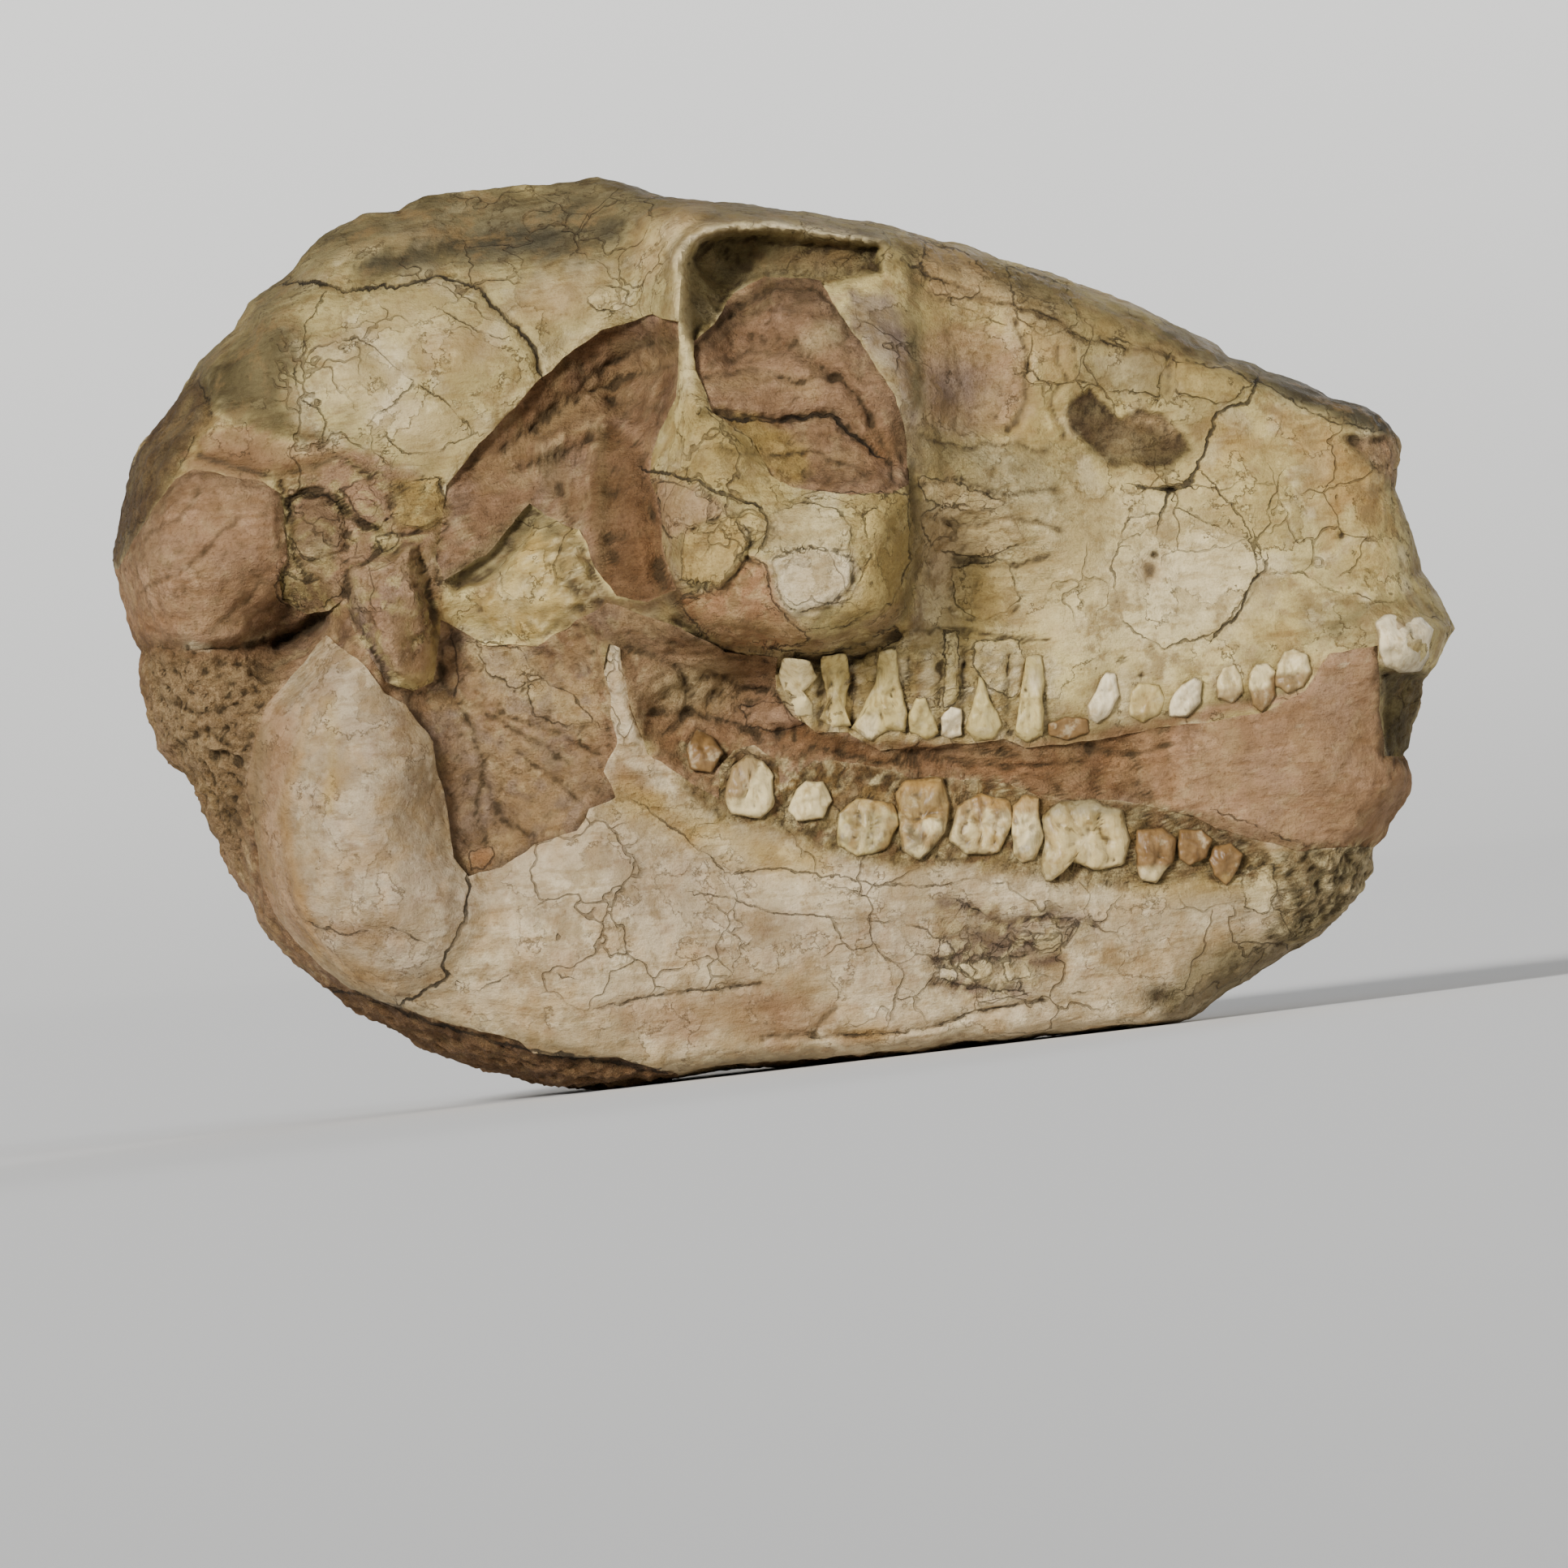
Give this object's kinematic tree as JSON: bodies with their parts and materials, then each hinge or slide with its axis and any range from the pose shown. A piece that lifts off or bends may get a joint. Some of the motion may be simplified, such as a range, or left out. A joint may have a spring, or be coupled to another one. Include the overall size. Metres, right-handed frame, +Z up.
{
  "type": "fossil oreodont skull",
  "caption": "Fossil mammal skull with its lower jaw closed on rock, a ridged braincase, deep orbits, a tapering snout and worn cheek teeth, standing on its jaw.",
  "frame": {"origin": "middle of the skull's box, on the surface that its lower jaw rests on", "axes": "+X towards the snout, +Y to the skull's left side, +Z up; the pictured right side faces -Y"},
  "size_m": [0.2122, 0.1152, 0.1453],
  "materials": {
    "bone": "matt fossil bone",
    "jaw_bone": "matt fossil bone",
    "rock": "rough siltstone",
    "enamel": "satin tooth enamel",
    "brown_enamel": "satin brown dentine"
  },
  "bodies": {
    "root": {"cranium": "bone", "jaw_matrix": "rock", "lower_molar_1_back_left": "enamel", "lower_molar_1_back_right": "enamel", "lower_molar_1_front_left": "enamel", "lower_molar_1_front_right": "enamel", "lower_molar_2_back_left": "enamel", "lower_molar_2_back_right": "enamel", "lower_molar_2_front_left": "enamel", "lower_molar_2_front_right": "enamel", "lower_molar_3_back_left": "enamel", "lower_molar_3_back_right": "enamel", "lower_molar_3_front_left": "enamel", "lower_molar_3_front_right": "enamel", "lower_molar_3_heel_left": "brown_enamel", "lower_molar_3_heel_right": "brown_enamel", "lower_premolar_1_left": "brown_enamel", "lower_premolar_1_right": "brown_enamel", "lower_premolar_2_left": "brown_enamel", "lower_premolar_2_right": "brown_enamel", "lower_premolar_3_left": "brown_enamel", "lower_premolar_3_right": "brown_enamel", "lower_premolar_4_left": "enamel", "lower_premolar_4_right": "enamel", "mandible": "jaw_bone", "orbit_matrix_left": "rock", "orbit_matrix_right": "rock", "temple_matrix_left": "rock", "temple_matrix_right": "rock", "upper_canine_left": "enamel", "upper_canine_right": "enamel", "upper_molar_1_back_left": "enamel", "upper_molar_1_back_right": "enamel", "upper_molar_1_front_left": "brown_enamel", "upper_molar_1_front_right": "brown_enamel", "upper_molar_2_back_left": "enamel", "upper_molar_2_back_right": "enamel", "upper_molar_2_front_left": "enamel", "upper_molar_2_front_right": "enamel", "upper_molar_2_root_left": "enamel", "upper_molar_2_root_right": "enamel", "upper_molar_3_back_left": "enamel", "upper_molar_3_back_right": "enamel", "upper_molar_3_front_left": "enamel", "upper_molar_3_front_right": "enamel", "upper_molar_3_heel_left": "enamel", "upper_molar_3_heel_right": "enamel", "upper_premolar_1_left": "enamel", "upper_premolar_1_right": "enamel", "upper_premolar_2_left": "enamel", "upper_premolar_2_right": "enamel", "upper_premolar_3_back_left": "enamel", "upper_premolar_3_back_right": "enamel", "upper_premolar_3_front_left": "enamel", "upper_premolar_3_front_right": "enamel", "upper_premolar_4_back_left": "enamel", "upper_premolar_4_back_right": "enamel", "upper_premolar_4_front_left": "enamel", "upper_premolar_4_front_right": "enamel"}
  },
  "joints": []
}
